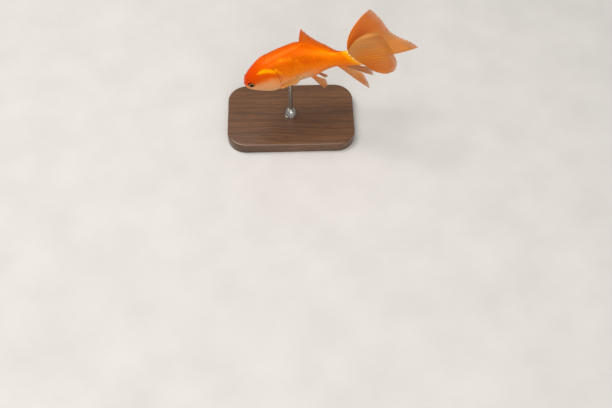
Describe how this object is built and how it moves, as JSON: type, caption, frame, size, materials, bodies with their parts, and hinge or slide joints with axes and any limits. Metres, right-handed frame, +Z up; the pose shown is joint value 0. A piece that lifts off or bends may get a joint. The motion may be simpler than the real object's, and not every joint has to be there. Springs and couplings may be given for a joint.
{
  "type": "goldfish museum model",
  "caption": "Life-size model of a young twin-tailed goldfish, swimming head down with its tail swept aside, held by a rod on a flat base.",
  "frame": {"origin": "middle of the stand base's underside, straight below the rod", "axes": "+Z up; the fish's head points to -X and its tail to +X; its left flank faces -Y"},
  "size_m": [0.1369, 0.058, 0.1012],
  "materials": {
    "skin": "orange fish skin under clear lacquer, moist gloss",
    "fin": "thin ribbed web, translucent orange",
    "eye": "polished",
    "stand_wood": "dark walnut, satin varnish",
    "stand_steel": "fine brushed"
  },
  "bodies": {
    "root": {"head": "skin", "lower_jaw": "skin", "gill_cover_left": "skin", "gill_cover_right": "skin", "eye_left": "eye", "eye_right": "eye", "trunk": "skin", "tail_stem": "skin", "dorsal_fin": "fin", "pectoral_fin_left": "fin", "pectoral_fin_right": "fin", "pelvic_fin_left": "fin", "pelvic_fin_right": "fin", "anal_fin_left": "fin", "anal_fin_right": "fin", "tail_fin_left": "fin", "tail_fin_right": "fin", "stand_base": "stand_wood", "stand_collar": "stand_steel", "stand_rod": "stand_steel"}
  },
  "joints": []
}
